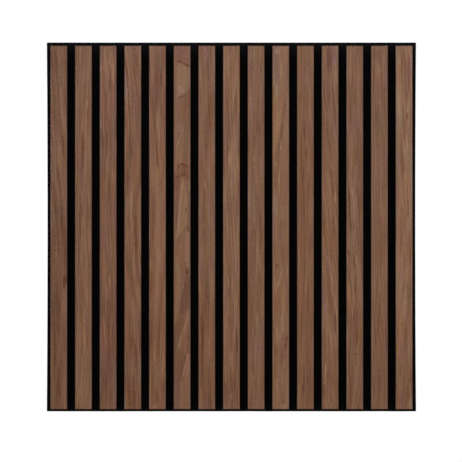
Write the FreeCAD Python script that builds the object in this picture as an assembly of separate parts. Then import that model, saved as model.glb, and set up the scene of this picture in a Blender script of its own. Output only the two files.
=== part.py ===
# Acoustic slat wall panel: veneered slats on a felt board that lies flat on a wall.
#
# Frame: X across the panel, Z up along the slats, Y from the room towards the wall.
# The origin is the middle of the felt's back face, the face that meets the wall.
# Each slat is a black fibreboard core with one leaf of walnut veneer glued to its front.
# Flat-wire staples, shot through the felt from behind, hold the cores: each crown lies
# sunk in a dimple in the felt's back, and both legs bite into the core.
# The panel is a whole number of slat pitches wide, so a panel butted beside it keeps
# the same gap across the joint. A little more felt shows over the slats than under them.

import FreeCAD, Part
import os

# Panel and slats, in millimetres
slat_count = 15
slat_pitch = 40.0
slat_width = 27.0
panel_height = 600.0
top_margin = 6.5           # felt left showing over the slats
bottom_margin = 4.5        # felt left showing under them
felt_thickness = 9.0
core_thickness = 11.4
veneer_thickness = 0.6
veneer_arris = 0.3         # round on the veneer's four front edges

# Staples
staples_per_slat = 4
staple_end_inset = 45.0    # slat end to the middle of the nearest staple
crown_width = 10.6         # over the outside of the legs
wire_width = 1.2           # along the slat
wire_thickness = 0.5
bend_flat = 0.3            # inside each bend, along the crown and the leg
staple_bite = 5.4          # leg length inside the core
point_length = 1.0         # slope of the chisel point
crown_sink = 0.4           # crown's outer face below the felt's back face
dimple_clearance = 0.5     # felt drawn clear of the crown all round

# Sizes worked out from those above
panel_width = slat_count * slat_pitch
slat_length = panel_height - top_margin - bottom_margin
slat_middle = (bottom_margin - top_margin) / 2
felt_front = -felt_thickness
core_front = felt_front - core_thickness
veneer_front = core_front - veneer_thickness
dimple_depth = crown_sink + wire_thickness

Vector = FreeCAD.Vector


def slat_centres():
    """X of each slat's middle, left to right."""
    first = -(slat_count - 1) * slat_pitch / 2
    return [first + i * slat_pitch for i in range(slat_count)]


def staple_heights():
    """Z of each staple on one slat, spread evenly between the two end ones."""
    end = slat_length / 2 - staple_end_inset
    step = 2 * end / (staples_per_slat - 1)
    return [slat_middle - end + i * step for i in range(staples_per_slat)]


def plate(width, back, front, height):
    """Upright plate between two depths, centred on X and Z."""
    return Part.makeBox(width, back - front, height, Vector(-width / 2, front, -height / 2))


def placed(shape, x, z=0):
    return shape.translated(Vector(x, 0, z))


def staple():
    """One driven staple at X = 0, Z = 0: its U outline, pushed out by the wire's width."""
    half_out = crown_width / 2
    half_in = half_out - wire_thickness
    crown_out = -crown_sink
    crown_in = crown_out - wire_thickness
    tip = felt_front - staple_bite
    # The wire keeps its thickness across the flat of a bend
    outer_flat = bend_flat + (2 - 2 ** 0.5) * wire_thickness
    right = [
        Vector(half_out - outer_flat, crown_out, 0),
        Vector(half_out, crown_out - outer_flat, 0),
        Vector(half_out, tip + point_length, 0),
        Vector(half_in, tip, 0),
        Vector(half_in, crown_in - bend_flat, 0),
        Vector(half_in - bend_flat, crown_in, 0),
    ]
    left = [Vector(-p.x, p.y, 0) for p in reversed(right)]
    outline = Part.Face(Part.makePolygon(right + left + right[:1]))
    return placed(outline.extrude(Vector(0, 0, wire_width)), 0, -wire_width / 2)


def dimple():
    """The pocket that a crown draws into the felt at X = 0, Z = 0."""
    width = crown_width + 2 * dimple_clearance
    height = wire_width + 2 * dimple_clearance
    return plate(width, 0, -dimple_depth, height)


def felt_backing(places, staples):
    """The felt board, dimpled under each crown and closed tight round the legs."""
    board = plate(panel_width, 0, felt_front, panel_height)
    pocket = dimple()
    return board.cut([placed(pocket, x, z) for x, z in places]).cut(staples)


def slat_core(x, staples):
    """One fibreboard core, with the sockets that its own staples bite into it."""
    core = plate(slat_width, felt_front, core_front, slat_length)
    return placed(core, x, slat_middle).cut(staples)


def slat_veneer(x):
    """One leaf over the core's front, sanded round on its four front edges."""
    leaf = plate(slat_width, core_front, veneer_front, slat_length)
    front_edges = [e for e in leaf.Edges if abs(e.CenterOfMass.y - veneer_front) < 1e-6]
    return placed(leaf.makeFillet(veneer_arris, front_edges), x, slat_middle)


def build():
    """Every node of the panel, by name."""
    one_staple = staple()
    nodes = {}
    places = []
    staples = []
    for number, x in enumerate(slat_centres(), start=1):
        own_places = [(x, z) for z in staple_heights()]
        own_staples = [placed(one_staple, *place) for place in own_places]
        nodes[f"slat_core_{number:02d}"] = slat_core(x, own_staples)
        nodes[f"slat_veneer_{number:02d}"] = slat_veneer(x)
        places += own_places
        staples += own_staples
    nodes["felt_backing"] = felt_backing(places, staples)
    nodes["backing_staples"] = Part.makeCompound(staples)
    return nodes


os.makedirs("parts", exist_ok=True)
for name, shape in build().items():
    shape.exportStep(f"parts/{name}.step")
    print(name, len(shape.Solids), "solids", round(shape.Volume), "mm3", "valid", shape.isValid())
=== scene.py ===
import math

import bmesh
import bpy
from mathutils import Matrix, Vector, noise


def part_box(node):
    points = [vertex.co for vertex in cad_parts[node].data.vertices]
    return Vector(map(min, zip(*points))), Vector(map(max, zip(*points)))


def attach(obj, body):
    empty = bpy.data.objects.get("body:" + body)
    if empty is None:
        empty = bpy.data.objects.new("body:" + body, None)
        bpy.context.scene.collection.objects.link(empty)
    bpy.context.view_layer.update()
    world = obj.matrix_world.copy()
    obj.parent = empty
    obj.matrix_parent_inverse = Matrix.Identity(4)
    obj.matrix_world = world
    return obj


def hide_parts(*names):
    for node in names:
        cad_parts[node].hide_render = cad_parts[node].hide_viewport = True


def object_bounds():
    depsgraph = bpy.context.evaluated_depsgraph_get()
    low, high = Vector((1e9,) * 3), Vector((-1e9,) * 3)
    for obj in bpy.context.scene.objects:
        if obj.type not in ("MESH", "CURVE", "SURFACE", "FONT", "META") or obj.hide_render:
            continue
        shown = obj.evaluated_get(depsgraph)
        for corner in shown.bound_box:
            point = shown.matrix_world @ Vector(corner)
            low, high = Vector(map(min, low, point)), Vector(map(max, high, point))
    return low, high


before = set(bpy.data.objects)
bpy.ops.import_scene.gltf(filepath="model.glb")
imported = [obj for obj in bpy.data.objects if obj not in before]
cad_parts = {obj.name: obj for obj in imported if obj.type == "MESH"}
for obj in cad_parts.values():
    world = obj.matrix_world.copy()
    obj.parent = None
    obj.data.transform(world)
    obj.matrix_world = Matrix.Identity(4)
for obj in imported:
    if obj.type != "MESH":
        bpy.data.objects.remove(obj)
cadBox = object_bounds()
print("frame loaded:", len(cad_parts), "nodes")


# Helpers

def toLinear(red, green, blue):
    # An 8 bit screen colour as the linear one that a socket takes
    parts = [part / 255 for part in (red, green, blue)]
    return tuple(p / 12.92 if p <= 0.04045 else ((p + 0.055) / 1.055) ** 2.4 for p in parts) + (1.0,)


def addNode(tree, kind, inputs=None, **settings):
    made = tree.nodes.new("ShaderNode" + kind)
    for name, value in settings.items():
        setattr(made, name, value)
    for name, value in (inputs or {}).items():
        if isinstance(value, bpy.types.NodeSocket):
            tree.links.new(value, made.inputs[name])
        else:
            made.inputs[name].default_value = value
    return made


def calc(tree, operation, *values):
    return addNode(tree, "Math", dict(enumerate(values)), operation=operation).outputs[0]


def swing(tree, cloud, amount, base):
    # A noise's swing round its middle, times an amount, on top of a base
    return calc(tree, "MULTIPLY_ADD", calc(tree, "SUBTRACT", cloud, 0.5), amount, base)


def blendColour(tree, amount, first, second, mode="MIX"):
    inputs = {0: amount, 6: first, 7: second}
    return addNode(tree, "Mix", inputs, data_type="RGBA", blend_type=mode).outputs[2]


def remap(tree, value, low, high, newLow, newHigh, smooth=False):
    # Moves one range of values onto another, and stops at its ends
    inputs = {"Value": value, "From Min": low, "From Max": high, "To Min": newLow, "To Max": newHigh}
    style = "SMOOTHSTEP" if smooth else "LINEAR"
    made = addNode(tree, "MapRange", inputs, interpolation_type=style, clamp=True)
    return made.outputs["Result"]


def split(tree, vector):
    return addNode(tree, "SeparateXYZ", {0: vector}).outputs


def mapping(tree, vector, location=(0, 0, 0), rotation=(0, 0, 0), scale=(1, 1, 1), kind="POINT"):
    turns = [math.radians(angle) for angle in rotation]
    inputs = {"Vector": vector, "Location": location, "Rotation": turns, "Scale": scale}
    return addNode(tree, "Mapping", inputs, vector_type=kind).outputs["Vector"]


def cloudNoise(tree, vector, scale=1.0, detail=2.0, roughness=0.5, output="Fac"):
    inputs = {"Vector": vector, "Scale": scale, "Detail": detail, "Roughness": roughness}
    return addNode(tree, "TexNoise", inputs).outputs[output]


def bumpNormal(tree, height, strength, distance):
    inputs = {"Height": height, "Strength": strength, "Distance": distance}
    return addNode(tree, "Bump", inputs).outputs["Normal"]


def newMaterial(name):
    material = bpy.data.materials.new(name)
    material.use_nodes = True
    material.node_tree.nodes.clear()
    return material, material.node_tree


def objectPlace(tree):
    return addNode(tree, "TexCoord").outputs["Object"]


def finishMaterial(tree, colour, roughness, normal, specular=0.5, metallic=0.0):
    inputs = {"Base Color": colour, "Roughness": roughness, "Normal": normal,
              "Specular IOR Level": specular, "Metallic": metallic}
    shader = addNode(tree, "BsdfPrincipled", inputs)
    addNode(tree, "OutputMaterial", {"Surface": shader.outputs[0]})


def dress(nodeName, material):
    # Gives a CAD node its finish
    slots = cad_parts[nodeName].data.materials
    slots.clear()
    slots.append(material)


def addObject(name, data):
    made = bpy.data.objects.new(name, data)
    bpy.context.scene.collection.objects.link(made)
    return made


def addMesh(name, bm, material):
    mesh = bpy.data.meshes.new(name)
    bm.to_mesh(mesh)
    bm.free()
    mesh.materials.append(material)
    return addObject(name, mesh)


noiseSpan = (0.3, 0.7)      # a noise seldom leaves this range


# Walnut veneer, with its lengths in millimetres

walnut = {
    "darkTone": (0.085, 0.030, 0.010, 1),
    "midTone": (0.168, 0.080, 0.0433, 1),
    "paleTone": (0.262, 0.150, 0.093, 1),
    "poreTone": (0.045, 0.020, 0.012, 1),
    "plumTint": (1.015, 0.905, 1.17, 1),
    "strawTint": (0.995, 1.07, 0.84, 1),
    "greyTint": (0.88, 1.00, 1.21, 1),
    "rustTint": (1.12, 1.00, 0.80, 1),
    # grey-blue tint of the painted highlight along the arris
    "sheenTint": (0.95, 1.11, 1.32, 1),
    "toneReach": 1.6,           # tone of the palest wood; the darkest has as much below zero
    "hueReach": 2.0,
    "rustReach": (-0.5, 1.5),
    # Width and length of each kind of grain, and how much it shows
    "bands": (9, 420, 1.8),
    "lines": (2.3, 75, 4.1),
    "hairs": (0.9, 38, 2.6),
    "drift": (11, 110, 3.0),
    "flecks": (1.5, 5, 1.2),
    "pores": (0.5, 7, 0.4),
    "hueClouds": (5.5, 45, 1.7),
    "rustClouds": (7, 70, 1.0),
    "wander": (30, 170, 8),     # here, how far it wanders sideways
    "hueSpan": (0.2, 0.8),
    "poreSpan": (0.08, 0.3),
    "brightFleck": (0.66, 0.76, 0, 0.7),        # how a range of the noise changes the tone
    "darkFleck": (0.24, 0.34, -0.6, 0),
    "footRust": 0.15,           # the lower end is redder, the upper one greyer
    "topRust": -0.31,
    "footHeight": -170,
    # How far the grain breaks up the edges of the figure, across it and along it
    "lineShake": 1.6,
    "hairShake": 14,
    "ripple": (8, 24),
    "rippleShake": (5, 30),
    "calmShare": 0.3,           # what is left of that on the marks that keep their shape
    "crossSlope": 1.5,          # a flatter mark runs across the grain
    "patchSoft": 0.9,           # half the width of a patch's edge
    "markWide": 1.15,           # a mark with its soft edge, as shares of its own size
    "markLong": 1.24,
    "markDepth": 40,            # into the wood
    "markCore": 0.6,
    "pathSpan": 100,
    # The face is darker along its edges and ends, and the long edges are tinted greyer and bluer as a
    # painted highlight on the arris
    "rimWidth": 1.0,
    "endRimWidth": 0.9,
    "rimTone": -2.0,
    # band of painted highlight along the long edges, in millimetres
    "sheenBand": (2.7, 0.3),     # from the edge
    "specular": 0.25,
    "roughness": (0.45, 0.58),
    "hairRelief": 0.3,
    "bump": (0.25, 0.0001),     # strength, and height in metres
}

# Each leaf, left to right. path is how far the grain runs to the right at five heights, from the
# bottom end to the top one. tone, hue and rust are how pale, yellow and red the leaf is as a whole,
# and plain how much of the even grain shows. A mark is a streak or spot in the figure: the place
# of its upper and of its lower end, across from the slat's middle and up from the panel's, its half
# width, and how much paler, yellower and redder it is. A patch has the corners of its outline
# instead, clockwise.
leaves = [
    {"path": (24, 24, 22, 12, 0), "tone": -0.2, "hue": 0.2, "rust": -0.2, "plain": 0.9,
     "marks": [
      (0, 220, 0, 90, 16, 0.35), (0, 50, 0, -150, 16, -0.25), (0, 300, 0, 250, 16, -0.4),
      (0, 5, 0, -100, 16, -0.22), (-6.3, 292, -3.2, 236, 1.3, -0.6, 0.1, 0.7),
      (-3.2, 240, 4.9, 149, 1.5, -1.1, 0.2, 0.4), (4.9, 155, 8.4, 108, 1.5, -1.0, 0.2),
      (-12, 160, -8, 122, 1.5, -0.7, -0.8), (-3.5, 104, 3.8, 42, 1.6, -0.9, 0.2),
      (3.6, 46, 8.4, -22, 1.6, -0.7, 0.2), (-10, 76, -3, 0, 2.4, -0.8, -0.9),
      (-3, 6, 0.5, -52, 2.8, -0.8, -1.2), (11.5, -72, 9.0, -104, 4.0, -1.8, 0.5, 0.8),
      (3, 292, 2, 262, 4, 0.5, -0.6), (0, 118, 5, 84, 2.2, 0.4, 0.8), (8, 270, 9, 190, 5, -0.1, 0.4),
      (0, -90, 1, -300, 12, -0.45, -0.7), (-8, -120, -6, -235, 1.4, -0.7, -0.3),
      (1, -252, 1, -276, 5, -0.2, 0.1), (0.5, -158, 1, -172, 4, -0.4), (-8.5, -210, -7, -296, 2.2, 0.1, 1.0)
     ]},
    {"path": (-6, 0, -6, -2, 0), "tone": -0.05, "hue": 0.1, "rust": 0, "plain": 0.8,
     "marks": [
      (0, 300, 0, 250, 16, -0.2), (0, 110, 0, -10, 16, 0.1), (9.8, 200, 9.8, 70, 1.8, 0.5, -0.2, 0.4),
      (9.2, 66, 9.4, -64, 2.2, 0.6, -0.1, 0.2), (0.8, 44, 0.6, -64, 3, -0.1, 0.8),
      (-10, 296, -10.5, 262, 1.6, 0.3, 1.2), (2.6, 240, 0.6, 200, 1.2, -0.6, 0.1),
      (6.7, 210, 6.7, 194, 2.2, 0.8, 0.2), (-1, 160, -1.6, 112, 2.6, -0.8, -1.0, 0.6),
      (-1, 120, -3.6, 58, 2.2, -0.8, -1.2), (-4.2, 56, -4.6, -20, 2.6, -1.0, 0.2),
      (8.7, 72, 8.7, 24, 1.6, 1.2, -0.1), (-7.5, -8, -8, -84, 1.8, -0.8, -0.2),
      (-11.5, -70, -11.5, -200, 2.0, -0.7, -1.2), (1.6, -122, 1.4, -204, 2.4, 0.9, 0.7),
      (-1.4, -206, -3.6, -272, 1.8, 0.8, 0.8), (9.5, -212, 10, -240, 2.6, -0.2, 0.8),
      (4, -20, 5, -110, 5, 0.2, 0.4), (-5, -256, -6, -292, 4, 0.7, 1.0), (6, -282, 6, -296, 3, -0.4)
     ]},
    {"path": (2, 4, 0, 2, 0), "tone": -0.2, "hue": -0.2, "rust": -0.1, "plain": 0.9,
     "marks": [
      (0, 300, 0, 230, 16, 0.8), (0, -60, 0, -240, 16, -0.15), (0, 300, 0, 190, 16, 0.12, 0, 0.3),
      (0, 110, 0, -10, 16, 0.1, 0, 0.3), (-6, -48, -6, -78, 2, 0, 0, 0.7), (0, 294, 0, 272, 4, -0.6, 0.7),
      (-8.7, 292, -8.4, 262, 1.4, -0.3, 0.2), (9.5, 290, 9.5, 268, 1.6, 0.2, -0.8),
      (8.3, 264, 8.6, 232, 2.2, 1.3, 0.2), (1.4, 268, 1.0, 250, 2.2, -0.2, 0.4),
      (-2.6, 236, -2.6, 222, 1.2, 0.9, 0.2), (2, 262, 2.4, 222, 1.2, -1.7),
      (-0.6, 222, -2, 198, 1.2, -0.6, -0.4), (-10.7, 168, -10.4, 128, 2.6, -1.0, -1.0),
      (-1.6, 156, -1.4, 112, 2.2, -0.9, 0.3), (2.4, 126, 2.8, 110, 1.0, 0.9, 0.4),
      (2.2, 92, 2.6, 34, 1.5, -1.2, 0.2), (6.6, 96, 6.4, 64, 1.8, 0.7, -0.2),
      (-2.4, -14, -3, -56, 1.2, -0.8, -0.6), (2.6, -80, 2.6, -100, 1.4, 0.9, 0.1),
      (9.5, -96, 8.6, -136, 1.2, 0.6, 0.6), (-8.8, -134, -4.2, -192, 1.6, 1.0, -0.6),
      (8.5, -150, 8.8, -212, 3.4, -0.6, -0.6), (0, -110, 0.4, -172, 3.6, -0.7, 0.5),
      (1, -200, 2, -290, 9, -0.35, -0.5), (3, 0, 4, -60, 3, 0.1, 0.8)
     ]},
    {"path": (12, 4, -6, 1, -10), "tone": 0, "hue": -0.1, "rust": 0.1, "plain": 1.0,
     "marks": [
      (0, 230, 0, 110, 16, -0.4), (0, 300, 0, 190, 16, 0.21), (0, 110, 0, -10, 16, 0, 0, 0.2),
      (0, 0, 0, -100, 16, -0.2), (-7, 296, -6, 282, 2.6, -0.2, -0.3), (-12.4, 284, -7.4, 226, 1.3, -1.2),
      (-7.4, 232, -5.0, 182, 1.4, -1.2, 0.2), (-5.0, 186, -3.8, 112, 1.3, -1.0, 0.1, 0.5),
      (-5.4, 282, -1.0, 226, 1.2, -1.0, 0.1), (-1.0, 232, -0.2, 206, 1.3, -0.4, 0.3),
      (0, 276, 2.6, 232, 1.1, -0.4), (4.5, 260, 6, 170, 3.4, 0.2, -0.6), (-9, 96, -8.4, 44, 1.8, -0.8, -0.4),
      (4.4, 78, 6.6, 30, 1.6, 0, -0.8, 0.7), (2.8, 24, 5.8, -16, 2.2, -1.1, 0.2, 1.0),
      (5.8, -10, 7.6, -50, 2.2, -1.4, -0.8, 0.8), (7.4, -44, 8.8, -96, 1.8, -1.0, -0.8, 0.5),
      (-2.2, 24, 1.0, -28, 1.3, 0.6, 0.4), (1.0, -22, 3.0, -88, 1.4, 1.0, 0.2),
      (-4, 10, -3.4, -4, 1.2, -0.8, 0.2), (-8, 10, -6, -60, 4, 0.6, 0.9),
      (4.6, -96, 8.6, -158, 1.4, -0.1, -0.7), (-4, -108, 1, -160, 1.2, 0.6, -0.2),
      (0.8, -150, 2.4, -188, 2.8, 1.0, 0.9), (-6, -140, -2, -210, 1.3, -0.8, 0.1),
      (-1, -214, 3.4, -262, 1.2, -0.8), (-3, -206, 1, -246, 1.1, 0.6, -0.2),
      (11.6, -170, 11.6, -206, 1.6, -0.9, -1.4), (-2, -236, -1, -300, 8, -0.5, -0.2, 0.3)
     ]},
    {"path": (0, 4, 6, 2, 0), "tone": 0, "hue": -0.1, "rust": 0.3, "plain": 0.85,
     "marks": [
      (0, 140, 0, -120, 16, 0.35, 0, 0.15), (0, 300, 0, 180, 16, -0.4, 0, -0.35),
      (0, -230, 0, -300, 16, -0.3), (0, -190, 0, -250, 10, 0, 0.4, 0.2),
      (-4, 242, -3.4, 196, 1.3, 0.3, -0.4), (5, 256, 5.6, 226, 1.4, -1.6, -0.8),
      (0, 290, 0, 256, 8, -0.1, 0.5), (0, 252, 1, 206, 6, -0.3, -0.9), (-1, 216, -1, 176, 2.6, -0.6, 1.2),
      (7.2, 204, 7.4, 164, 2.0, -0.5, 0.5), (-4.2, 184, -1.6, 112, 1.2, -1.5, -0.3),
      (-1.8, 132, -0.4, 96, 1.2, -1.8, -0.6, 0.5), (2.4, 108, 6.4, 72, 1.8, 0.1, -0.2),
      (6.2, 80, 6.4, 54, 1.6, -0.6, -0.6), (-2, 100, 0, 52, 3.4, 0, 0.2),
      (0.2, -34, 0.4, -60, 3.6, 0.5, 0.9, -0.7), (-3.8, -36, -4.4, -58, 1.8, -0.7, 0.6),
      (-11, -50, -11, -66, 1.8, 0.7, -0.4), (-6, 30, -6, -30, 2.4, -0.5, 0.1),
      (-6, -150, -5, -230, 1.1, 0.2, 0.1), (-1, -130, -1.4, -228, 1.0, -0.6, 0.1),
      (3.4, -130, 3, -226, 1.0, -0.5), (0, -226, -4.6, -256, 1.3, 0.4, -0.1),
      (-1, -256, -1, -288, 3.6, -1.0, 0.3), (9, -200, 9, -250, 3.4, 0.5, 0.8)
     ]},
    {"path": (-10, -6, -4, 2, 0), "tone": 0.05, "hue": 0, "rust": 0.1, "plain": 0.42,
     "patches": [
      (((-14, 272), (-14, 300), (14, 300), (14, 260)), -0.1, -0.8),
      (((-8.5, 258), (-5, 265), (14, 258.5), (14, 226), (-9, 209)), 0.5, 0.4),
      (((-7, 228), (1, 229), (3.5, 219), (-7, 211)), 0.55, -0.4),
      (((3, 214), (14, 222), (14, 196), (5, 190)), -0.4, -0.3),
      (((-9, 154), (-8, 168), (1, 166), (-1, 152)), 0.35, -0.7),
      (((-10, 128), (2, 158), (13, 152), (13, 118), (-9, 106)), 0.1, 0.6),
      (((-9, 92), (-2, 102), (12, 97), (12, 80), (-1, 84)), -0.5, 0.3, 0.2),
      (((-14, 84), (-9, 92), (-1, 84), (4, 80), (-4, 62), (-14, 60)), -0.3, 0),
      (((-2.5, 62), (-3, 80), (1, 82), (3, 60)), 0.3, 0.4),
      (((-9, -20), (-4.3, 40), (-1, 80), (3, 80), (9, 44), (8, 4)), 0.85, 0.8, 0.1),
      (((-14, 20), (-14, 84), (-3, 82), (-9.4, -14)), -0.35, -0.8),
      (((10, 60), (9, 74), (13, 78), (13, 60)), 0.6, 0),
      (((-11, -64), (-9, -20), (8, 2), (0, -60)), 0.1, 0.7),
      (((4, -56), (7, -8), (12, -8), (12, -66)), 0.8, -0.4),
      (((-3, -120), (6, -79), (13, -79), (13, -124), (2, -143), (-2.5, -143)), -0.75, -1.2, -0.4),
      (((-11, -154), (-9, -60), (2, -66), (5, -79), (-3.5, -120), (-4, -144)), 0.35, 1.0),
      (((-14, -186), (-14, -162), (-3, -144), (6, -148), (-8, -198)), -0.5, 0.2, -0.2),
      (((-8, -197), (2, -163), (12, -136), (12, -152), (-3, -197)), 0.45, -0.2),
      (((-3, -198), (5, -168), (13, -153), (13, -206), (2, -206)), -0.1, -0.5),
      (((-14, -248), (-14, -186), (4, -206), (6, -221), (-2, -248)), -0.6, 0.3, -0.2),
      (((-14, -298), (-14, -248), (-2, -248), (-3.5, -298)), -0.4, -0.3, -0.5),
      (((0, -242), (6, -212), (14, -206), (14, -238)), 0.6, -0.9),
      (((-3, -298), (-1.5, -246), (14, -240), (14, -298)), 0.2, 0.3),
     ],
     "marks": [
      (-9, 270, 1, 265, 2.4, -1.4, 0.3), (0, 266, 13, 259, 2.2, -1.4), (4, 214, -8, 207, 1.9, -1.0, 0.3),
      (2, 206, 2, 172, 8, -0.1, 0.2, 0.4), (-10, 50, -9, -20, 1.6, -0.5, -0.2),
      (3.6, 164, -3.2, 146, 0.9, 1.3, -0.2), (-3, 149, -9.5, 126, 0.9, 1.5),
      (-8, 95, -2, 103, 2.4, -1.0, 0.5), (-2, 103, 4, 99, 2.6, -1.1, 0.5), (4, 99, 12, 97, 2.4, -0.8, 0.4),
      (-9, 80, -1, 86, 2.4, -0.9, 0.3), (-1, 86, 6, 84, 2.6, -0.9, 0.2), (6, 84, 11, 75, 2.2, -0.7, -0.2),
      (-1.6, 56, -4.6, 18, 1.1, 0.8, -0.1), (-4.6, 22, -10.4, -26, 1.3, 0.9, -0.2),
      (6, 34, 6.2, 24, 2.0, -1.1, 0.3), (3, 18, 4, -10, 2.0, -0.4, 0.5), (10, 3, 10, -8, 2.0, -0.9, -0.2),
      (-4, -4, -9, -50, 1.6, -0.6, 0.6), (6.2, -66, 8.2, -78, 1.9, -1.9, -0.2, -0.4),
      (9.6, -68, 9, -78, 1.4, -1.5, 0, -0.4), (4.5, -82, -4.5, -125, 1.0, 0.8, 0.5),
      (12, -126, 11, -138, 1.6, -0.8, -0.5), (11.4, -132, 2.8, -166, 1.2, 0.9, 0.1),
      (3.2, -160, -9, -200, 1.2, 1.0, 0.2), (10.4, -174, 10, -182, 1.6, -1.2, -0.6),
      (8, -184, 10, -206, 1.6, -0.4, -0.9), (5, -208, 5, -216, 1.8, -1.3, -0.4),
      (11.4, -206, 5, -217, 1.2, 0.7, -0.4), (6.6, -218, -1, -246, 1.0, 0.8),
      (-1, -244, -2.6, -282, 1.0, 0.7, 0.1), (-9, -205, -4, -209, 1.4, -0.5, 0.4),
      (8, -272, 9, -296, 3, -0.2, 0.6)
     ]},
    {"path": (4, 4, 2, 2, -4), "tone": 0.05, "hue": 0, "rust": 0.1, "plain": 0.7,
     "marks": [
      (0, 300, 0, 200, 16, 0, 0, -0.25), (0, 10, 0, -100, 16, 0, 0, -0.3), (0, -90, 0, -300, 16, -0.24),
      (-2, 296, -2, 262, 5.4, 0.5, -0.9), (-3.4, 286, -3.4, 274, 1.4, -0.9, -0.3),
      (6.5, 290, 7, 262, 3, -0.1, -0.9), (0.6, 280, 4.5, 224, 1.4, -1.1, -0.9),
      (3, 208, 6.7, 152, 1.5, -0.6, 0.1, 1.0), (-3, 250, -3, 180, 6, 0, 0.7),
      (-2, 143, 3, 138, 1.4, -0.2, 0.5), (-3.4, 134, 4.4, 128, 1.8, -0.8, 0.2),
      (2.6, 126, 3.4, 116, 1.4, 0.1, -0.7), (-5, 156, 7, 148, 1.3, -0.6, 0.4),
      (-3.4, 100, -3.2, 86, 1.4, 0.4, 0.3), (-3.4, 80, -3.6, 56, 1.6, 1.3, 0.3),
      (4.7, 100, 4.8, 78, 1.6, 0.6, -1.0), (0, 0, 0, -64, 8, 0.3, 1.1), (-4.6, 6, -4.2, -3, 1.2, 1.1, -0.6),
      (-6, -4, -6, -9, 1.4, -1.2), (-7.6, -112, -7.4, -286, 2.2, -1.0, 0.2, 0.7),
      (0.6, -112, 0.6, -120, 1.5, -1.2, -0.2), (-6.4, -126, -6.2, -134, 1.4, -0.8, -0.4),
      (4.7, -184, 4.7, -192, 1.3, 0.8, -0.2), (-2, -266, 5, -300, 7, -0.5, -0.7),
      (5.4, -240, 5.4, -280, 1.6, -0.4, 0.9), (10, -140, 10, -260, 2.6, -0.1, -0.8)
     ]},
    {"path": (0, 1, 0, 0, 0), "tone": 0.3, "hue": 0.1, "rust": 0.1, "plain": 1.0,
     "marks": [
      (0, 230, 0, 120, 16, -0.3), (0, 300, 0, 190, 16, 0, 0, 0.25), (-4, -60, -4, -110, 4, 0, 0.7, -0.3),
      (-3.6, 292, -3.4, 212, 1.1, -0.2, 0.9), (4.4, 296, 4.6, 208, 1.1, 0.8, 0.3),
      (0.4, 290, 0, 220, 0.9, 0.9, 0.2), (6.6, 234, 6.6, 150, 1.5, -0.8, -0.2),
      (-8.6, 220, -8, 176, 1.8, -0.5, -0.5), (-3.6, 146, -3.0, 86, 1.2, 1.7, 0.9),
      (3.2, 172, 3.0, 148, 1.4, 0.9, -0.9), (-6, 28, -6, -22, 1.3, 0.9, 0.5),
      (-1, 84, -0.6, 40, 3.0, 0.7, 0.7), (-9, 0, -9, -60, 1.4, -0.4), (-6.4, -74, -5.8, -106, 1.4, 1.5, 0.7),
      (-3, -112, -3, -150, 1.4, 1.3, 0.9), (2, -100, 3, -170, 1.2, -0.5, -0.2),
      (8.8, -158, 9, -214, 1.8, -1.0, -0.6), (0, -196, 0, -228, 4.4, 0.5, 0.6), (0, -170, 0, -310, 16, -0.2),
      (0, -236, 0, -310, 13, -0.8, -0.2, -0.3), (0, -272, 1, -282, 2.2, 0.7, 0.5)
     ]},
    {"path": (0, -3, 1, -2, 2), "tone": 0.1, "hue": 0.2, "rust": -0.1, "plain": 0.75,
     "marks": [
      (0, 300, 0, 190, 16, 0.17), (0, 296, 0, 262, 7, 0.1, 0.9), (9, 268, 8, 244, 2.2, -0.3, 1.0),
      (3.6, 252, 3, 196, 1.2, -0.6, -0.4), (-9, 270, -8, 220, 3.2, -0.2, -0.9),
      (-3.4, 176, -2.6, 156, 2.0, 0.1, 0.3), (3.4, 180, 4, 148, 2.2, -0.6, -0.2),
      (-4, 148, 2, 152, 1.4, 0.5, 0.3), (-4, 120, -4.4, 98, 2.2, 0.6, 0.3),
      (1.6, 52, 1.6, 42, 1.4, -0.9, 0.3), (7.4, 28, 7.0, -52, 1.4, -0.9, 0.1),
      (-1.6, 4, -1.4, -20, 1.2, -0.8, 0.2), (3.2, -8, 3.6, -44, 1.6, -0.3, 0.3),
      (4.4, -60, 4.4, -100, 3.0, -0.5, -0.5), (-1.6, -140, -3.2, -200, 1.1, -0.9, 0.1),
      (-3.4, -190, -3.8, -214, 1.5, -0.4, 0.4), (-3.4, -210, -5, -244, 1.2, -1.1, 0.1),
      (1.4, -144, 1.6, -160, 2.2, 0.8, 0.4), (4.8, -176, 5.2, -214, 4.4, -0.1, -1.1),
      (-6, -236, -6, -260, 2, 0.4, 0.2), (2, -262, 3, -300, 9, 0.1, -0.9)
     ]},
    {"path": (4, 0, -10, 4, 8), "tone": 0.35, "hue": 0.2, "rust": 0.2, "plain": 0.6,
     "patches": [
      (((-14, 214), (2, 212), (0, 178), (-4, 150), (-11.5, 104), (-14, 104)), 0.1, 0.3, 0.4),
      (((-3, -184), (3, -170), (10, -184), (9, -222), (-1, -222)), -0.2, -1.1, 0.1),
     ],
     "marks": [
      (0, -190, 0, -300, 16, -0.06, 0, -0.2), (-7, 300, -7, 226, 8, 0.1, -0.2, -0.35),
      (-8, 292, -7, 282, 2.6, 0.8, 0.1), (-5, 288, -5, 280, 2.4, 0.6, -0.3),
      (0.2, 270, -0.4, 240, 1.8, 0.7, -0.3), (-10.6, 252, -10.6, 226, 2.2, 0.9, 0.9, -0.5),
      (-7, 234, -6.4, 210, 3.0, 0.9, 0.4, -0.4), (-6, 250, -5, 230, 2.6, 0.2, -1.0),
      (-9.6, 208, -9.6, 170, 3.0, -0.2, -1.3, 0.8), (-9, 170, -11, 112, 2.6, 0.3, 0.3, 0.2),
      (7, 206, 3, 168, 2.8, -0.7, 0.4, -0.2), (3.4, 174, -0.5, 140, 3.0, -1.1, 0.4, -0.4),
      (-0.4, 146, -6.4, 106, 2.4, -0.8, 0.4, -0.2), (9, 176, 8, 130, 3.6, 0.2, -0.5, -0.4),
      (0.6, 134, 0.4, 124, 1.6, 1.0, 0.2), (3.4, 130, 4, 112, 2.2, 0.1, 0.2),
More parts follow.
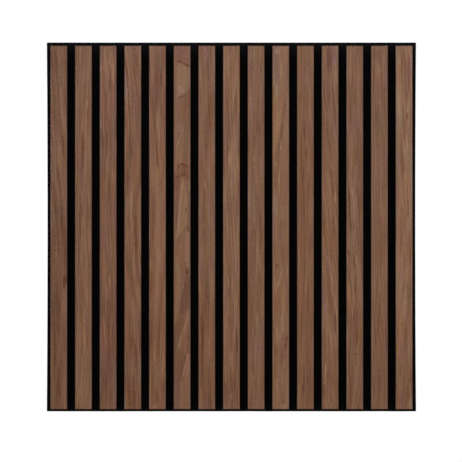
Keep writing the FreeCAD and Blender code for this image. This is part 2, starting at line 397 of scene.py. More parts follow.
      (-10.6, 108, -10, 98, 1.8, 0.9, -0.4), (-3, 96, -2.4, 46, 1.3, 0.9, 0.7),
      (-9, 98, -8.4, 54, 2.8, -0.5, -1.5), (7, 40, 7, 24, 4, 0.1, -0.7), (-4, 36, -4, -6, 4, 0.2, 0.6),
      (-8, 58, -7, 14, 4.4, 0.5, -0.2, -0.3), (-12, 60, -12, -70, 1.6, 0.2, -0.2, -0.7),
      (3, 16, 2, -6, 5, -0.5, 0.2), (4, -26, 3, -56, 5, -0.4, 0.2), (-6.6, -60, -6.6, -67, 1.8, -1.6, 0.1),
      (2, -66, -4, -98, 1.6, 1.2, 0.3), (-1, -86, -9, -104, 1.8, 0.9, -0.4),
      (11, -58, 9, -90, 1.6, 0.7, 0.2), (-7.5, -102, -7, -150, 3.6, -0.2, -0.9, 1.8),
      (4, -100, 4, -142, 4, 0.1, 0.6, 0.1), (9, -106, 9, -146, 1.2, -0.9, 0, 0.4),
      (3, -118, 3.4, -160, 1.4, 0.8, 0.2), (1, -140, 1.4, -172, 2.2, 0.8, 0.4),
      (-6.4, -158, -4.4, -192, 2.0, 1.0, -0.6, 1.2), (5, -160, -2, -188, 1.4, 0.7, -0.3),
      (10, -174, 9.4, -186, 1.8, -1.4, -0.6), (8, -184, 7.4, -200, 2.2, -0.9, -0.8),
      (1.6, -196, 2.2, -216, 3.0, -0.4, -0.9), (0, -186, 5, -190, 1.4, 0.7, -0.4),
      (1, -204, 6, -206, 1.4, 0.7, -0.6), (-8, -190, -8, -214, 3, -0.6, 0.5, 0.4),
      (-8, -216, -8, -252, 3, -0.4, -0.8, 0.9), (1.2, -232, 0.8, -266, 1.3, 1.0, 0.2),
      (-0.6, -240, -1, -268, 1.2, -0.6), (6, -214, 6.6, -228, 1.4, 0.9, 0.2), (6, -286, 5, -300, 5, 0.8, 0.6)
     ]},
    {"path": (-3, 0, 1, 1, 0), "tone": -0.05, "hue": 0.1, "rust": 0.2, "plain": 0.75,
     "marks": [
      (4, 94, 4, -10, 2.6, 0, 0.8, 0.1), (4, -56, 4, -130, 2.6, 0, 0.8, 0.2),
      (4, 206, 4, 160, 2.4, 0, -0.4, 0.6), (-2, 250, -2, 226, 2.6, 0.5, 0.2),
      (-7.4, 216, -7.2, 202, 1.8, -0.8, -0.4), (2.8, 270, 3, 258, 1.2, -0.7, -0.3),
      (-1.4, 174, -0.8, 136, 2.0, -1.0, 0.1), (5, 200, 6, 120, 3.0, -0.4, -0.4),
      (1, 130, 1.2, 104, 2.6, -0.9, 0.2), (-3.2, 100, -3.4, 76, 1.2, -0.8),
      (4.8, 100, 5, 34, 1.5, -0.8, 0.4), (3, 24, 3, -4, 1.4, -0.7, 0.2),
      (-1.2, -42, -1.0, -92, 1.4, -0.9, 0.2), (2.2, -60, 1, -124, 1.3, 0.6, 0.6),
      (6, -120, 6, -142, 2.4, -0.1, -0.5), (-5, -176, -5, -232, 1.6, 0.7, 0.2),
      (-1, -204, -1.6, -226, 1.6, 0.4, 0.1), (-4, -252, -4, -272, 2.6, -0.8, -0.3),
      (4, -236, 4, -262, 2.4, -0.6, -0.6), (-6.4, -130, -6.4, -190, 1.2, -0.5, 0.4)
     ]},
    {"path": (38, 28, 14, -2, -16), "tone": 0.1, "hue": 0.1, "rust": 0.1, "plain": 0.85,
     "marks": [
      (0, 300, 0, 190, 16, -0.13, 0, -0.35), (0, 110, 0, -90, 16, 0, 0, 0.25), (0, -90, 0, -200, 16, 0.18),
      (8, 296, 8, 256, 5, 0.1, -0.3, -0.7), (-5, 100, -4, 66, 2, 0.1, 1.1),
      (-7, 12, -7, -10, 2, 0, 0.3, 0.8), (-5, -80, -4, -112, 2, -0.1, -0.2, 0.8),
      (-1.6, 296, -0.8, 248, 4.6, -1.0, -1.7), (7, 278, 7.4, 258, 3.0, 0.4, -1.0),
      (8, 256, 8.4, 226, 1.8, 0.6, 1.0), (-8, 270, -7, 236, 2.2, 0.2, 0.8),
      (4, 236, 7.4, 178, 2.4, -0.8, -0.3), (7, 190, 9, 150, 2.4, -0.6, -0.4),
      (-11.8, 238, -6, 182, 1.3, -1.0, -0.3), (-6, 188, -3, 144, 1.3, -0.9, -0.3),
      (-1, 200, 1, 152, 2.6, 0.6, -0.6), (0, 98, 3.4, 64, 1.7, -1.2, 0.1), (3.2, 70, 6, 32, 1.8, -1.2, 0.1),
      (7, 60, 8.6, 34, 1.4, 1.9, 0.2), (-11.6, 68, -6.4, 30, 1.4, 0.1, -0.4),
      (-6.6, 36, -2.2, -22, 1.3, 0.5, -0.3), (-9.6, 32, -9, -8, 2.2, -0.5, 1.1),
      (4.6, 28, 6, -24, 2.0, -0.8, -0.2), (1, -18, 3, -56, 1.6, -0.8, 0.2),
      (-6, -40, 0.8, -66, 1.3, 0.9, -0.1), (0.6, -60, 6, -102, 1.4, 0.9, 0.1),
      (5.6, -96, 11, -150, 1.5, 0.9, 0.3), (7, -136, 8.6, -170, 2.6, -1.0, 0.3),
      (-9.6, -110, -4.4, -158, 2.4, 0.4, -0.9), (-5, -150, 3, -196, 2.4, 0.6, 0.1),
      (-9.4, -160, -6, -208, 1.5, -0.9, 0.2), (-7.6, -214, -7.4, -248, 1.7, 2.4, -0.3),
      (-7.4, -244, -6.2, -268, 1.6, 0.9, -1.5), (-1.6, -216, 0, -264, 2.2, -0.7, 0.2),
      (-9, -270, -6, -296, 4.4, 0.5, -0.5), (4, -260, 7, -298, 1.4, 0.6, -0.2),
      (9, -220, 9.6, -290, 2, -0.3, 0.4)
     ]},
    {"path": (10, 18, 4, 0, -2), "tone": 0, "hue": 0, "rust": 0, "plain": 1.0,
     "marks": [
      (0, -60, 0, -160, 16, 0.2), (0, 230, 0, 70, 16, -0.15), (0, -250, 0, -300, 16, -0.2),
      (-8, 290, -7, 220, 3.0, 0.8, 0.9), (1, 290, 1.4, 226, 4.0, -0.5, -0.8),
      (0, -90, 0, -200, 16, 0, 0, 0.2), (-9, -90, -8.4, -130, 2, 0, 0.4, 0.7),
      (5, -158, 5, -186, 4, 0, 0.2, 0.6), (-2, 206, -0.8, 176, 1.4, 0.6, 0.5),
      (-1.6, 186, -1.4, 172, 1.2, -0.2, 0.1), (0, 158, -0.4, 124, 4.6, 0.2, 0.7),
      (1, 130, 1.2, 98, 1.3, -0.7, 0.4), (-8, 128, -7, 100, 2.6, 0.1, -1.2),
      (-7.2, 84, -3.4, 42, 1.5, 0.9, 0.2), (-9.8, 64, -8.8, 28, 1.6, -0.8, 0.3),
      (-8.8, 34, -5.4, -12, 1.7, -1.5, 0.3), (2.4, 66, 2.6, 56, 1.4, -1.0, 0.1),
      (-8.8, -8, -8.4, -36, 2.0, 0.4, 1.0), (-1.8, -6, -1.4, -44, 4.2, 0.8, -0.2),
      (-9, -32, -8.6, -48, 1.0, -1.6, 0.2), (-2.4, -40, 0.4, -78, 1.5, -1.4, -0.1),
      (0.2, -72, 1.8, -116, 1.5, -1.4), (1.8, -108, 2.4, -156, 1.3, -1.1, -0.1),
      (0.8, -44, 4, -66, 1.2, 1.6, -0.3), (-5.6, -66, -4, -120, 1.6, 0.6, 0.1),
      (-3, -110, -3, -150, 1.3, 1.4, 0.5), (3, -160, 4, -190, 2.2, -0.7, -0.4),
      (-3, -206, 8, -207, 1.4, -1.2, -0.2, 0.3), (1, -212, 3, -232, 1.1, -0.8, 0.1),
      (-10, -190, -8.8, -246, 1.4, -0.7, 0.2), (-8.8, -240, -5.2, -292, 1.4, -0.4, 0.2),
      (-11.4, -206, -11, -260, 1.1, 0.7, 0.2), (10.8, -170, 11, -250, 1.4, -0.1, -1.6),
      (0, -240, 0, -292, 3.6, -0.7, 0.8)
     ]},
    {"path": (3, 0, 1, 0, -2), "tone": 0, "hue": 0, "rust": -0.1, "plain": 0.7,
     "marks": [
      (0, -20, 0, -100, 16, 0.25, 0, 0.15), (1, -4, 1, -36, 4, 0, 1.0), (1, -84, 1, -108, 4, 0, 1.0),
      (-9, 296, -9, 274, 1.8, -0.8), (-1, 262, -1, 244, 3.4, 0.6),
      (-9.2, 256, -9.2, 218, 1.4, -1.2, -0.9, 0.7), (9.4, 228, 9.4, 220, 2.0, -0.9, -0.5),
      (-2.6, 212, -3.4, 196, 1.2, 0.1), (-1, 206, -1, 200, 1.0, 1.2, 0.1), (0, 244, 0, 206, 7, 0, -0.6),
      (-6, 196, -6, 166, 1.6, -0.6, 0.4), (0, 190, 0, 120, 6, 0, 0.8), (0, 80, 2, 50, 6, -0.2, -0.4),
      (8.6, 46, 8.4, 10, 1.4, 0.3, 1.4), (-3, 10, -2, 0, 2.0, -0.5), (0, -10, 0.6, -50, 1.2, -0.6, 0.6),
      (8.6, -6, 8.6, -18, 1.6, -0.6, -0.6), (3, -70, 3.4, -110, 1.6, -0.5, 0.3),
      (0.4, -60, 1, -110, 1.1, 0.4, 0.2), (4, -110, 4.6, -128, 1.3, -0.6, -0.2, 0.8),
      (-2, -138, -1.6, -186, 1.3, -1.0), (1.6, -146, 2, -210, 1.6, -0.2, 0.1),
      (5.2, -136, 6, -200, 1.3, -0.9, -0.3), (0, -150, 0.4, -180, 0.9, 0.6, 0.1),
      (11, -110, 10.6, -220, 2.4, -0.5, -1.3), (0, -210, 0, -296, 9, -0.05, 0.5),
      (-9, -236, -9, -270, 2.0, -0.3, -0.8)
     ]},
    {"path": (2, 0, 4, -2, -4), "tone": 0.5, "hue": 0.2, "rust": 0.2, "plain": 1.0,
     "marks": [
      (0, -150, 0, -300, 16, -0.55, 0, -0.2), (0, 220, 0, 100, 16, 0.35), (0, -20, 0, -100, 16, 0.25),
      (-7.6, 292, -7.4, 176, 3.8, 0.8, 0.8), (-4.4, 274, -4, 236, 1.4, -1.4, 0.3),
      (1.6, 296, 3, 230, 1.2, -0.3, -0.5), (8.6, 290, 9, 206, 3.0, -1.1, -1.3),
      (3, 236, 5, 188, 1.4, -1.2, -0.7), (-3, 204, -2.6, 200, 1.6, 1.3, 0.3),
      (-2.8, 198, -2.4, 186, 1.4, -0.2), (5, 190, 5.4, 172, 2.0, -2.0, 0.1),
      (0, 178, 2, 134, 1.3, -1.1, 0.2), (2.4, 150, 6.8, 124, 1.2, 1.3, 0.4), (-1, 150, 1.6, 132, 1.2, -0.8),
      (4.4, 140, 9, 118, 1.2, 0.4, -0.2), (-9, 110, -9, 98, 2.0, 0, -1.2), (1, 96, 1, 60, 3.4, 0.5, 0.7),
      (-10, 80, -10, 40, 2.0, 0.2, -1.3), (6.2, 46, 6.4, 12, 1.5, -2.1, 0.3),
      (5.4, 66, 6, 44, 1.3, -0.8, 0.2), (-3, 36, -3, 20, 1.1, -1.7), (4, 10, 4, -40, 3.4, 0.4, 0.6),
      (-4, -6, -4, -34, 1.1, -0.7, -0.8), (10.2, -36, 10, -64, 1.6, -1.0, 0.2),
      (1, -46, 1.4, -74, 1.4, -0.9, 0.2), (-5, -60, -5, -90, 2.2, -0.1, -0.6),
      (0, -84, 0, -110, 4.4, -0.3, -0.4), (0, -116, 0.4, -150, 3.0, 0.3, -0.5),
      (4, -134, 4.4, -168, 1.2, -0.3), (-4.6, -166, -4, -200, 1.6, 0.6, -0.3),
      (-10.4, -186, -10, -216, 2.2, 0.1, 0.9, 0.7), (0, -196, 0.4, -230, 2.2, 0.2, -0.4),
      (-1, -226, -1, -250, 1.4, 0.7, 0.1), (8.6, -226, 8, -262, 1.8, -0.1, 0.7),
      (6, -254, 6, -284, 3.4, -0.9, -0.2), (-5, -250, -5, -296, 4, -0.1, -0.9)
     ]},
]


def tintPlace(tree, shape, change, look):
    # Makes the figure there paler, yellower and redder
    for part, amount in zip(("tone", "hue", "rust"), change):
        if amount:
            look[part] = calc(tree, "MULTIPLY_ADD", shape, amount, look[part])


def addMark(tree, place, mark, look):
    # A streak that is strongest along its middle and fades to its sides and ends
    topU, topZ, lowU, lowZ, halfWidth = mark[:5]
    turn = math.degrees(math.atan2(topU - lowU, topZ - lowZ))
    halfLength = math.hypot(topU - lowU, topZ - lowZ) / 2
    size = (halfWidth * walnut["markWide"], walnut["markDepth"], halfLength * walnut["markLong"])
    spot = mapping(tree, place, location=((topU + lowU) / 2, 0, (topZ + lowZ) / 2),
                   rotation=(0, turn, 0), scale=size, kind="TEXTURE")
    cone = addNode(tree, "TexGradient", {"Vector": spot}, gradient_type="SPHERICAL").outputs["Fac"]
    tintPlace(tree, remap(tree, cone, 0, walnut["markCore"], 0, 1, smooth=True), mark[5:], look)


def addPatch(tree, place, patch, look):
    # A flat piece of the figure with a clear edge: how far a point lies inside every side
    corners = patch[0]
    inside = 1000               # deeper than any patch
    for (fromU, fromZ), (toU, toZ) in zip(corners, corners[1:] + corners[:1]):
        length = math.hypot(toU - fromU, toZ - fromZ)
        inward = Vector(((toZ - fromZ) / length, 0, (fromU - toU) / length))
        reach = addNode(tree, "VectorMath", {0: place, 1: inward}, operation="DOT_PRODUCT")
        depth = calc(tree, "SUBTRACT", reach.outputs["Value"], inward.dot(Vector((fromU, 0, fromZ))))
        inside = calc(tree, "MINIMUM", inside, depth)
    shape = remap(tree, inside, -walnut["patchSoft"], walnut["patchSoft"], 0, 1, smooth=True)
    tintPlace(tree, shape, patch[1:], look)


def shakenPlace(tree, across, height, shakeAcross, shakeUp, share):
    # The place on the face, moved by a share of the grain's unevenness
    parts = {0: calc(tree, "MULTIPLY_ADD", shakeAcross, share, across),
             2: calc(tree, "MULTIPLY_ADD", shakeUp, share, height)}
    return addNode(tree, "CombineXYZ", parts).outputs[0]


def addFigure(tree, leaf, across, height, shakeAcross, shakeUp, look):
    # The leaf's own patches and marks
    figure = shakenPlace(tree, across, height, shakeAcross, shakeUp, 1.0)
    calm = shakenPlace(tree, across, height, shakeAcross, shakeUp, walnut["calmShare"])
    for patch in leaf.get("patches", []):
        addPatch(tree, calm, patch, look)
    for mark in leaf["marks"]:
        crossesGrain = abs(mark[1] - mark[3]) < walnut["crossSlope"] * abs(mark[0] - mark[2])
        keepsShape = crossesGrain or "patches" in leaf
        addMark(tree, calm if keepsShape else figure, mark, look)


def grainPath(tree, height, path):
    # How far the grain has run sideways at this height
    halfHeight = cadBox[1].z * 1000
    share = remap(tree, height, -halfHeight, halfHeight, 0, 1)
    bend = addNode(tree, "FloatCurve", {"Value": share})
    points = bend.mapping.curves[0].points
    for step in range(1, len(path) - 1):
        points.new(step / (len(path) - 1), 0.5)
    for step, offset in enumerate(path):
        points[step].location = (step / (len(path) - 1), 0.5 + offset / walnut["pathSpan"])
    bend.mapping.update()
    return swing(tree, bend.outputs[0], walnut["pathSpan"], 0)


def grainPlace(tree, local, parts, path, seed):
    # The place as the grain sees it: the grain keeps to its path, but wanders a little
    across, depth, height = parts
    width, length, amount = walnut["wander"]
    slow = cloudNoise(tree, mapping(tree, local, location=(seed * 31, 0, seed * 17),
                                    scale=(1 / width, 1 / width, 1 / length)))
    run = calc(tree, "SUBTRACT", swing(tree, slow, amount, across), grainPath(tree, height, path))
    return addNode(tree, "CombineXYZ", {0: run, 1: depth, 2: height}).outputs[0]


def grainNoise(tree, grain, kind, seed, shift, detail=2.0, roughness=0.5):
    # Noise drawn out along the grain. The seed shifts it, so that no two leaves are alike.
    width, length = walnut[kind][:2]
    place = mapping(tree, grain, location=(seed * 53 + shift, shift, 0),
                    scale=(1 / width, 1 / width, 1 / length))
    return cloudNoise(tree, place, detail=detail, roughness=roughness)


def grainCloud(tree, grain, kind, start):
    # Softer noise, drawn out as well
    width, length = walnut[kind][:2]
    return cloudNoise(tree, mapping(tree, grain, location=start, scale=(1 / width, 1, 1 / length)))


def grainPores(tree, grain):
    # Short dark dashes
    width, length = walnut["pores"][:2]
    dash = mapping(tree, grain, scale=(1 / width, 1, 1 / length))
    cells = addNode(tree, "TexVoronoi", {"Vector": dash, "Scale": 1.0}, voronoi_dimensions="3D")
    return remap(tree, cells.outputs["Distance"], *walnut["poreSpan"], 1, 0, smooth=True)


def startLook(tree, grain, height, leaf, seed, lines, hairs):
    # How pale, yellow and red the wood is before its figure
    bands = grainNoise(tree, grain, "bands", seed, 11)
    drift = grainCloud(tree, grain, "drift", (0, seed * 7, 0))
    tone = leaf["tone"]
    for kind, part in (("bands", bands), ("lines", lines), ("hairs", hairs), ("drift", drift)):
        tone = swing(tree, part, walnut[kind][2] * leaf["plain"], tone)
    spread = walnut["hueClouds"][2]
    hue = remap(tree, grainCloud(tree, grain, "hueClouds", (5, seed * 3, 5)), *walnut["hueSpan"],
                leaf["hue"] - spread, leaf["hue"] + spread)
    rust = remap(tree, grainCloud(tree, grain, "rustClouds", (seed, 9, 0)), *noiseSpan,
                 leaf["rust"], leaf["rust"] + walnut["rustClouds"][2])
    top = cadBox[1].z * 1000
    fade = remap(tree, height, walnut["footHeight"], top, walnut["footRust"], walnut["topRust"])
    return {"tone": tone, "hue": hue, "rust": calc(tree, "ADD", rust, fade)}


def woodColour(tree, look, arrisSheen, pore):
    reach = walnut["toneReach"]
    ramp = addNode(tree, "ValToRGB", {"Fac": remap(tree, look["tone"], -reach, reach, 0, 1)})
    ramp.color_ramp.elements.new(0.5)
    for stop, shade in zip(ramp.color_ramp.elements, ("darkTone", "midTone", "paleTone")):
        stop.color = walnut[shade]
    yellower = remap(tree, look["hue"], -walnut["hueReach"], walnut["hueReach"], 0, 1)
    tint = blendColour(tree, yellower, walnut["plumTint"], walnut["strawTint"])
    colour = blendColour(tree, 1.0, ramp.outputs["Color"], tint, mode="MULTIPLY")
    redder = remap(tree, look["rust"], *walnut["rustReach"], 0, 1)
    tint = blendColour(tree, redder, walnut["greyTint"], walnut["rustTint"])
    colour = blendColour(tree, 1.0, colour, tint, mode="MULTIPLY")
    # Painted highlight: grey-blue sheen along the arris
    colour = blendColour(tree, arrisSheen, colour, walnut["sheenTint"], mode="MULTIPLY")
    return blendColour(tree, calc(tree, "MULTIPLY", pore, walnut["pores"][2]), colour, walnut["poreTone"])


def walnutMaterial(nodeName, leaf, seed):
    material, tree = newMaterial(f"walnut_{seed:02d}")
    low, high = (corner * 1000 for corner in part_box(nodeName))
    middle = (low + high) / 2
    half = (high - low) / 2
    # Millimetres across from the slat's middle, back from its face and up from the panel's middle
    local = mapping(tree, objectPlace(tree), location=(-middle.x, -low.y, 0), scale=(1000, 1000, 1000))
    across, depth, height = split(tree, local)
    grain = grainPlace(tree, local, (across, depth, height), leaf["path"], seed)
    lines = grainNoise(tree, grain, "lines", seed, 23)
    hairs = grainNoise(tree, grain, "hairs", seed, 37, detail=3.0, roughness=0.6)
    look = startLook(tree, grain, height, leaf, seed, lines, hairs)

    # The grain and a slow ripple break up the figure's edges
    width, length = walnut["ripple"]
    ripple = cloudNoise(tree, mapping(tree, local, location=(seed, 3, 0), scale=(1 / width, 1, 1 / length)),
                        output="Color")
    ripple = split(tree, ripple)
    rippleAcross, rippleUp = walnut["rippleShake"]
    shakeAcross = swing(tree, lines, walnut["lineShake"], swing(tree, ripple[0], rippleAcross, 0))
    shakeUp = swing(tree, hairs, walnut["hairShake"], swing(tree, ripple[1], rippleUp, 0))
    addFigure(tree, leaf, across, height, shakeAcross, shakeUp, look)

    # Pale and dark flecks where the grain crosses the cut
    fleck = grainNoise(tree, grain, "flecks", seed, 71, detail=1.0)
    tone = swing(tree, fleck, walnut["flecks"][2], look["tone"])
    tone = calc(tree, "ADD", tone, remap(tree, fleck, *walnut["brightFleck"]))
    tone = calc(tree, "ADD", tone, remap(tree, fleck, *walnut["darkFleck"]))

    # Darker edges and ends, and a painted highlight that tints the long edges greyer and bluer
    sideways = calc(tree, "ABSOLUTE", across)
    endways = calc(tree, "ABSOLUTE", calc(tree, "SUBTRACT", height, middle.z))
    rim = calc(tree, "MAXIMUM", remap(tree, sideways, half.x - walnut["rimWidth"], half.x, 0, 1),
               remap(tree, endways, half.z - walnut["endRimWidth"], half.z, 0, 1))
    look["tone"] = calc(tree, "MULTIPLY_ADD", rim, walnut["rimTone"], tone)
    # Painted highlight: the rim and a band beside it take the grey-blue sheen tint
    sheenFrom, sheenTo = walnut["sheenBand"]
    arrisSheen = calc(tree, "MAXIMUM", rim, remap(tree, sideways, half.x - sheenFrom, half.x - sheenTo, 0, 1))

    pore = grainPores(tree, grain)
    relief = calc(tree, "SUBTRACT", calc(tree, "MULTIPLY", hairs, walnut["hairRelief"]), pore)
    rough = remap(tree, hairs, *noiseSpan, *walnut["roughness"])
    finishMaterial(tree, woodColour(tree, look, arrisSheen, pore), rough,
                   bumpNormal(tree, relief, *walnut["bump"]), specular=walnut["specular"])
    return material


for number, leaf in enumerate(leaves, start=1):
    nodeName = f"slat_veneer_{number:02d}"
    dress(nodeName, walnutMaterial(nodeName, leaf, number))
print("veneers finished")


# Black fibreboard

core = {
    "colour": (16, 15, 15),
    "fibreColour": (30, 27, 25),
    "fibreScale": (900, 900, 350),
    "fibreSpan": (0.45, 0.75),
    "cloudScale": 60.0,
    "cloudLeast": 0.3,          # share of fibre colour where there is least
    "roughness": (0.7, 0.9),
    "specular": 0.1,
    "bump": (0.3, 0.0003),
}


def coreMaterial():
    material, tree = newMaterial("black_fibreboard")
    place = objectPlace(tree)
    fibres = cloudNoise(tree, mapping(tree, place, scale=core["fibreScale"]), detail=5.0, roughness=0.7)
    cloud = cloudNoise(tree, place, scale=core["cloudScale"], detail=3.0)
    amount = calc(tree, "MULTIPLY", remap(tree, fibres, *core["fibreSpan"], 0, 1),
                  remap(tree, cloud, *noiseSpan, core["cloudLeast"], 1))
    colour = blendColour(tree, amount, toLinear(*core["colour"]), toLinear(*core["fibreColour"]))
    rough = remap(tree, fibres, *noiseSpan, *core["roughness"])
    finishMaterial(tree, colour, rough, bumpNormal(tree, fibres, *core["bump"]),
                   specular=core["specular"])
    return material


blackCore = coreMaterial()
coreNames = [f"slat_core_{number:02d}" for number in range(1, len(leaves) + 1)]
for nodeName in coreNames:
    dress(nodeName, blackCore)
print("cores finished")


# Felt

felt = {
    "colour": (14, 14, 15),
    "paleFibre": (34, 34, 36),
    "fibreScale": 1400.0,
    "fibreSpan": (0.48, 0.72),
    "tuftScale": 220.0,
    "tuftSpan": (0.35, 0.7),
    "tuftLeast": 0.2,
    "tuftHeight": 1.5,
    "laneScale": (330, 330, 60),
    "lane": (0.5, 0.8, 0, 0.15),
    "laneHeight": 0.8,
    "cloudScale": 38.0,
    "cloudLeast": 0.3,
    "roughness": (0.9, 1.0),
    "specular": 0.0,
    "bump": (0.6, 0.0008),
    # The shape of the board, in metres
    "corner": 0.0012,           # soft round of the cut edge
    "waist": 0.0012,            # how far the sides draw in at mid height
    "flare": 0.00045,           # how far they stand out at the corners
    "sideReach": 0.012,         # how far in from the side this goes
    "waver": 0.0001,            # unevenness of the cut edge
    "fray": 0.00015,            # fibres standing out of the top and bottom edges
    "frayReach": 0.004,
    "puff": 0.00025,            # rise of the felt between two slats
    "puffWaver": 0.6,
    "waverScale": (40, 60, 40),
    "dimpleDepth": 0.00095,
    "dimpleHalfWidth": 0.0062,
    "dimpleHalfHeight": 0.0014,
    "dimpleReach": 0.004,       # felt drawn in past the dimple's floor
    "legIn": 0.0048,            # staple leg, inner and outer face
    "legOut": 0.0053,
    "wireHalf": 0.0006,
    "staplesPerSlat": 4,
    "stapleInset": 0.045,
    "linesBeside": (0.0078, 0.0098, 0.0135, 0.0165),    # mesh lines beside a staple, and above it
    "linesAbove": (0.0026, 0.0046),
    "spacingAcross": 0.01,
    "spacingUp": 0.02,
    "leastSpacing": 0.3,        # share of the spacing
    "sharpAngle": 1.0,          # radians
    "tiny": 1e-5,
}


def feltMaterial():
    material, tree = newMaterial("black_felt")
    place = objectPlace(tree)
    fibres = cloudNoise(tree, place, scale=felt["fibreScale"], detail=6.0, roughness=0.75)
    tufts = cloudNoise(tree, place, scale=felt["tuftScale"], detail=3.0)
    # The needles run in lines up the board, and the fibre lies in loose clouds
    lanes = cloudNoise(tree, mapping(tree, place, scale=felt["laneScale"]), detail=2.0)
    clouds = cloudNoise(tree, place, scale=felt["cloudScale"], detail=3.0, roughness=0.6)
    amount = calc(tree, "MULTIPLY", remap(tree, fibres, *felt["fibreSpan"], 0, 1),
                  remap(tree, tufts, *felt["tuftSpan"], felt["tuftLeast"], 1))
    amount = calc(tree, "MULTIPLY", amount, remap(tree, clouds, *noiseSpan, felt["cloudLeast"], 1))
    amount = calc(tree, "ADD", amount, remap(tree, lanes, *felt["lane"]))
    colour = blendColour(tree, amount, toLinear(*felt["colour"]), toLinear(*felt["paleFibre"]))
    height = calc(tree, "ADD", fibres, calc(tree, "MULTIPLY", tufts, felt["tuftHeight"]))
    height = calc(tree, "MULTIPLY_ADD", lanes, felt["laneHeight"], height)
    rough = remap(tree, tufts, *noiseSpan, *felt["roughness"])
    finishMaterial(tree, colour, rough, bumpNormal(tree, height, *felt["bump"]),
                   specular=felt["specular"])
    return material


def staplePlaces():
    places = []
    for nodeName in coreNames:
        low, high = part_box(nodeName)
        first = low.z + felt["stapleInset"]
        step = (high.z - low.z - 2 * felt["stapleInset"]) / (felt["staplesPerSlat"] - 1)
        places += [((low.x + high.x) / 2, first + row * step) for row in range(felt["staplesPerSlat"])]
    return places


def gridLines(low, high, middles, offsets, spacing):
    # Even lines between the two edges, and closer ones beside each staple
    lines = {low, high}
    for middle in middles:
        lines.update(middle + side * offset for offset in offsets for side in (-1, 1))
    count = round((high - low) / spacing)
    for step in range(1, count):
        place = low + (high - low) * step / count
        if all(abs(place - line) > spacing * felt["leastSpacing"] for line in lines):
            lines.add(place)
    tidy = []
    for line in sorted(lines):
        if not tidy or line - tidy[-1] > felt["tiny"]:
            tidy.append(line)
    return tidy


def feltSheet(places, columns, low, high):
    # The back face as a grid, with a slot for each staple leg
    rows = sorted({round(z, 6) for x, z in places})
    beside = (felt["legIn"], felt["legOut"], felt["dimpleHalfWidth"]) + felt["linesBeside"]
    above = (felt["wireHalf"], felt["dimpleHalfHeight"]) + felt["linesAbove"]
    across = gridLines(low.x, high.x, columns, beside, felt["spacingAcross"])
    upward = gridLines(low.z, high.z, rows, above, felt["spacingUp"])
    bm = bmesh.new()
    bmesh.ops.create_grid(bm, x_segments=len(across) - 1, y_segments=len(upward) - 1, size=0.5)
    for vert in bm.verts:
        column = round((vert.co.x + 0.5) * (len(across) - 1))
        row = round((vert.co.y + 0.5) * (len(upward) - 1))
        vert.co = (across[column], high.y, upward[row])
    slots = []
    for face in bm.faces:
        middle = face.calc_center_median()
        x, z = min(places, key=lambda place: abs(place[0] - middle.x) + abs(place[1] - middle.z))
        if felt["legIn"] < abs(middle.x - x) < felt["legOut"] and abs(middle.z - z) < felt["wireHalf"]:
            slots.append(face)
    bmesh.ops.delete(bm, geom=slots, context="FACES")
    bmesh.ops.recalc_face_normals(bm, faces=bm.faces)
    return bm


def thickenFelt(bm, low, high):
    # The full board, with its cut edges rounded
    bmesh.ops.solidify(bm, geom=bm.faces[:], thickness=high.y - low.y)
    backs = max(vert.co.y for vert in bm.verts)
    bmesh.ops.translate(bm, vec=(0, high.y - backs, 0), verts=bm.verts)
    outerX, outerZ = high.x - felt["tiny"], high.z - felt["tiny"]
    sharp = [edge for edge in bm.edges
             if len(edge.link_faces) == 2 and edge.calc_face_angle() > felt["sharpAngle"]]
    rim = [edge for edge in sharp
           if all(abs(vert.co.x) > outerX or abs(vert.co.z) > outerZ for vert in edge.verts)]
    bmesh.ops.bevel(bm, geom=rim, offset=felt["corner"], segments=3, profile=0.5,
                    affect="EDGES", material=-1)


def softenFelt(bm, places, columns, low, high):
    # Dimples in the back, a rise between the slats in front, and uneven cut edges
    coreLow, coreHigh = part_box(coreNames[0])
    halfPitch = (columns[1] - columns[0]) / 2
    halfGap = halfPitch - (coreHigh.x - coreLow.x) / 2
    for vert in bm.verts:
        x, y, z = vert.co
        nearX, nearZ = min(places, key=lambda place: abs(place[0] - x) + abs(place[1] - z))
        waver = noise.noise(vert.co * Vector(felt["waverScale"]))
        if y > (low.y + high.y) / 2:
            away = math.hypot(max(abs(x - nearX) - felt["dimpleHalfWidth"], 0),
                              max(abs(z - nearZ) - felt["dimpleHalfHeight"], 0))
            drawn = max(0.0, 1 - away / felt["dimpleReach"])
            vert.co.y -= felt["dimpleDepth"] * drawn * drawn * (3 - 2 * drawn)
        elif abs(x) < columns[-1]:
            fromGap = halfPitch - min(abs(x - column) for column in columns)
            rise = math.sin(max(0.0, 1 - fromGap / halfGap) * math.pi / 2)
            vert.co.y -= felt["puff"] * rise * (1 + felt["puffWaver"] * waver)
        side = max(0.0, 1 - (high.x - abs(x)) / felt["sideReach"])
        drawIn = felt["waist"] * (1 - (z / high.z) ** 2) - felt["flare"] + felt["waver"] * waver
        vert.co.x -= math.copysign(1, x) * side * drawIn
        edge = max(0.0, 1 - (high.z - abs(z)) / felt["frayReach"])
        vert.co.z += math.copysign(1, z) * edge * (felt["fray"] + felt["waver"] * waver)


def buildFelt():
    low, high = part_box("felt_backing")
    places = staplePlaces()
    columns = sorted({x for x, z in places})
    bm = feltSheet(places, columns, low, high)
    thickenFelt(bm, low, high)
    softenFelt(bm, places, columns, low, high)
    for face in bm.faces:
        face.smooth = True
    board = addMesh("felt_board", bm, feltMaterial())
    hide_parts("felt_backing")
    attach(board, "root")
    print("felt board:", len(board.data.polygons), "faces")


buildFelt()
print("felt finished")


# Staples

staples = {
    "darkSteel": (150, 150, 148),
    "paleSteel": (196, 196, 192),
    "drawnScale": (300, 4000, 4000),
    "roughness": (0.3, 0.45),
    "bump": (0.2, 0.00005),
}


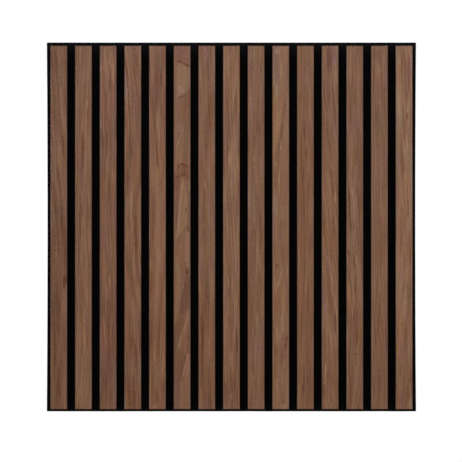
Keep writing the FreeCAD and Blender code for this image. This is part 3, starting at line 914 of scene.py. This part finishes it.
def stapleMaterial():
    material, tree = newMaterial("galvanised_wire")
    drawn = cloudNoise(tree, mapping(tree, objectPlace(tree), scale=staples["drawnScale"]), detail=3.0)
    colour = blendColour(tree, drawn, toLinear(*staples["darkSteel"]), toLinear(*staples["paleSteel"]))
    rough = remap(tree, drawn, *noiseSpan, *staples["roughness"])
    finishMaterial(tree, colour, rough, bumpNormal(tree, drawn, *staples["bump"]), metallic=1.0)
    return material


dress("backing_staples", stapleMaterial())
print("staples finished")


# Stage, light and camera

stage = {
    "floorZ": -0.56,
    "floorRadius": 1.9,
    "floorCentreY": -0.5,
    "floorColour": (0.43, 0.43, 0.43, 1),
    "floorGlow": 0.57,          # lifts the floor to white for the camera alone
    "ambient": 0.07,
}
softboxes = {
    "over": {"place": (0.0, -0.75, 2.0), "size": (3.0, 0.9), "power": 74.4},
    "left": {"place": (-1.9, -1.5, 0.2), "size": (0.9, 1.6), "power": 14.4},
    "right": {"place": (1.9, -1.5, 0.2), "size": (0.9, 1.6), "power": 14.4},
    "behind": {"place": (0.3, 1.8, 1.5), "size": (1.6, 1.6), "power": 78.0},
    "rear_left": {"place": (-2.1, 0.75, 0.4), "size": (0.9, 1.6), "power": 22.0},
    "rear_right": {"place": (2.1, 0.75, 0.4), "size": (0.9, 1.6), "power": 22.0},
}
camera = {
    "place": (-0.0007, -3.521, -0.0066),
    "lens": 168.2,
    "sensor": 36,
}


def floorPaint():
    material, tree = newMaterial("floor_paint")
    seen = addNode(tree, "LightPath").outputs["Is Camera Ray"]
    glowStrength = calc(tree, "MULTIPLY", seen, stage["floorGlow"])
    diffuse = addNode(tree, "BsdfDiffuse", {"Color": stage["floorColour"]})
    glow = addNode(tree, "Emission", {"Color": (1, 1, 1, 1), "Strength": glowStrength})
    both = addNode(tree, "AddShader", {0: diffuse.outputs[0], 1: glow.outputs[0]})
    addNode(tree, "OutputMaterial", {"Surface": both.outputs[0]})
    return material


def buildFloor():
    bm = bmesh.new()
    bmesh.ops.create_circle(bm, cap_ends=True, segments=96, radius=stage["floorRadius"])
    bmesh.ops.translate(bm, vec=(0, stage["floorCentreY"], stage["floorZ"]), verts=bm.verts)
    floor = addMesh("floor", bm, floorPaint())


def buildSky():
    world = bpy.data.worlds.new("studio")
    bpy.context.scene.world = world
    world.use_nodes = True
    tree = world.node_tree
    tree.nodes.clear()
    # White to the camera and in reflections, faint as a light
    seen = addNode(tree, "LightPath").outputs
    mirrored = calc(tree, "MAXIMUM", seen["Is Glossy Ray"], seen["Is Transmission Ray"])
    white = calc(tree, "MAXIMUM", seen["Is Camera Ray"], mirrored)
    strength = remap(tree, white, 0, 1, stage["ambient"], 1.0)
    sky = addNode(tree, "Background", {"Color": (1, 1, 1, 1), "Strength": strength})
    addNode(tree, "OutputWorld", {"Surface": sky.outputs[0]})


def buildSoftbox(name, box):
    # Turned towards the middle of the panel
    lamp = bpy.data.lights.new(name, "AREA")
    lamp.shape = "RECTANGLE"
    lamp.size, lamp.size_y = box["size"]
    lamp.energy = box["power"]
    holder = addObject(name, lamp)
    holder.location = box["place"]
    holder.rotation_euler = (-Vector(box["place"])).to_track_quat("-Z", "Y").to_euler()
    holder.visible_camera = False


def buildCamera():
    lens = bpy.data.cameras.new("camera")
    lens.sensor_width = camera["sensor"]
    lens.lens = camera["lens"]
    eye = addObject("camera", lens)
    eye.location = camera["place"]
    eye.rotation_euler = (math.radians(90), 0, 0)
    bpy.context.scene.camera = eye


buildFloor()
buildSky()
for name, box in softboxes.items():
    buildSoftbox("softbox_" + name, box)
buildCamera()
bpy.context.scene.view_settings.view_transform = "Standard"
print("stage set")
